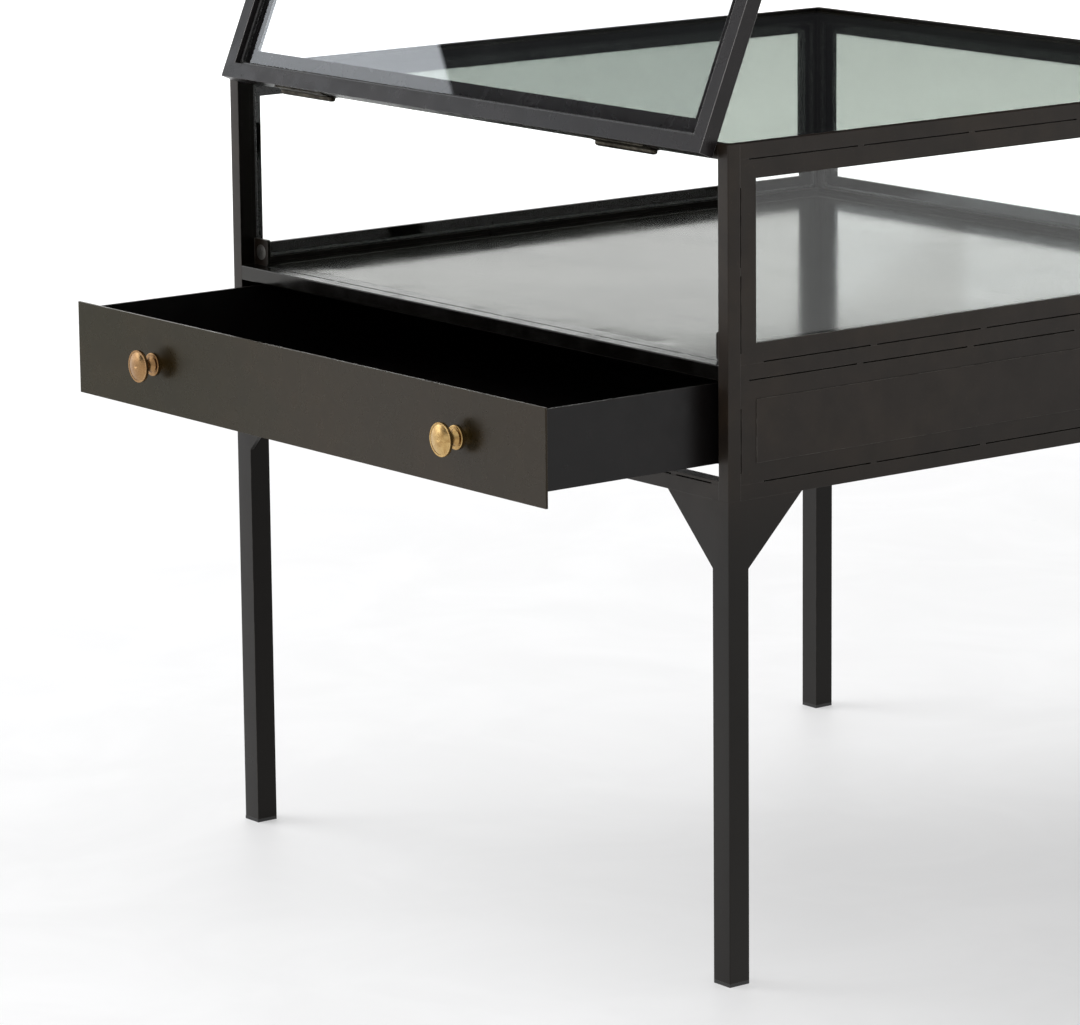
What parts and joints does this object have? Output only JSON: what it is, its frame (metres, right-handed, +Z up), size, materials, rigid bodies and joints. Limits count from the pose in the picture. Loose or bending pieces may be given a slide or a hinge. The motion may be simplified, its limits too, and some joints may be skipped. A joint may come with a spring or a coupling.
{
  "type": "display table",
  "caption": "Square blackened-steel display table with a glazed case, top-hung glass door, shallow drawer with round brass knobs and slim legs.",
  "frame": {"origin": "on the floor under the middle of the square table, which is the centre of the four legs' footprint", "axes": "+Z up; -Y is the front, where the door and drawer open; +X is the right-hand side of a person who faces the front, looking along +Y"},
  "size_m": [0.611, 0.7805, 0.7362],
  "materials": {
    "frame_steel": "blackened steel, waxed satin, faint mottling and bright worn edges",
    "panel_steel": "gunmetal sheet, satin with faint brown mottling",
    "deck_steel": "dark sheet polished to a blurred mirror",
    "drawer_steel": "gunmetal sheet, satin",
    "case_glass": "clear float glass with a faint green cast",
    "bead_black": "black glazing bead",
    "hinge_steel": "darkened steel",
    "magnet_steel": "dull plated steel",
    "aged_brass": "aged brass, satin",
    "screw_steel": "zinc-plated steel",
    "glide_plastic": "moulded black plastic"
  },
  "bodies": {
    "case": {"apron_panel_left": "panel_steel", "apron_panel_rear": "panel_steel", "apron_panel_right": "panel_steel", "bottom_rail_front": "frame_steel", "bottom_rail_left": "frame_steel", "bottom_rail_rear": "frame_steel", "bottom_rail_right": "frame_steel", "catch_brackets": "frame_steel", "catch_magnets": "magnet_steel", "deck_frame": "frame_steel", "deck_panel": "deck_steel", "deck_rail_front": "frame_steel", "deck_rail_left": "frame_steel", "deck_rail_rear": "frame_steel", "deck_rail_right": "frame_steel", "drawer_runners": "frame_steel", "drawer_sill": "frame_steel", "glass_left": "case_glass", "glass_rear": "case_glass", "glass_right": "case_glass", "glass_top": "case_glass", "glazing_beads": "bead_black", "glazing_frame_left": "frame_steel", "glazing_frame_rear": "frame_steel", "glazing_frame_right": "frame_steel", "hinge_case_leaves": "hinge_steel", "hinge_pins": "hinge_steel", "leg_front_left": "frame_steel", "leg_front_right": "frame_steel", "leg_glides": "glide_plastic", "leg_gussets": "frame_steel", "leg_rear_left": "frame_steel", "leg_rear_right": "frame_steel", "panel_frame_left": "frame_steel", "panel_frame_rear": "frame_steel", "panel_frame_right": "frame_steel", "post_front_left": "frame_steel", "post_front_right": "frame_steel", "post_rear_left": "frame_steel", "post_rear_right": "frame_steel", "top_rail_front": "frame_steel", "top_rail_left": "frame_steel", "top_rail_rear": "frame_steel", "top_rail_right": "frame_steel"},
    "door": {"door_bead": "bead_black", "door_frame": "frame_steel", "door_glass": "case_glass", "door_glazing_frame": "frame_steel", "door_knob": "aged_brass", "door_knob_screw": "screw_steel", "hinge_door_leaves": "hinge_steel"},
    "drawer": {"drawer_front": "drawer_steel", "drawer_side_left": "drawer_steel", "drawer_side_right": "drawer_steel", "drawer_floor": "drawer_steel", "drawer_back": "drawer_steel", "drawer_knobs": "aged_brass", "drawer_knob_screws": "screw_steel"}
  },
  "joints": [
    {"name": "door_hinge", "type": "hinge", "parent": "case", "child": "door", "pos_m": [0, -0.3075, 0.5979], "axis": [1, 0, 0], "range_deg": [0, 203]},
    {"name": "drawer_slide", "type": "slide", "parent": "case", "child": "drawer", "axis": [0, -1, 0], "range_m": [-0.154, 0.226]}
  ]
}
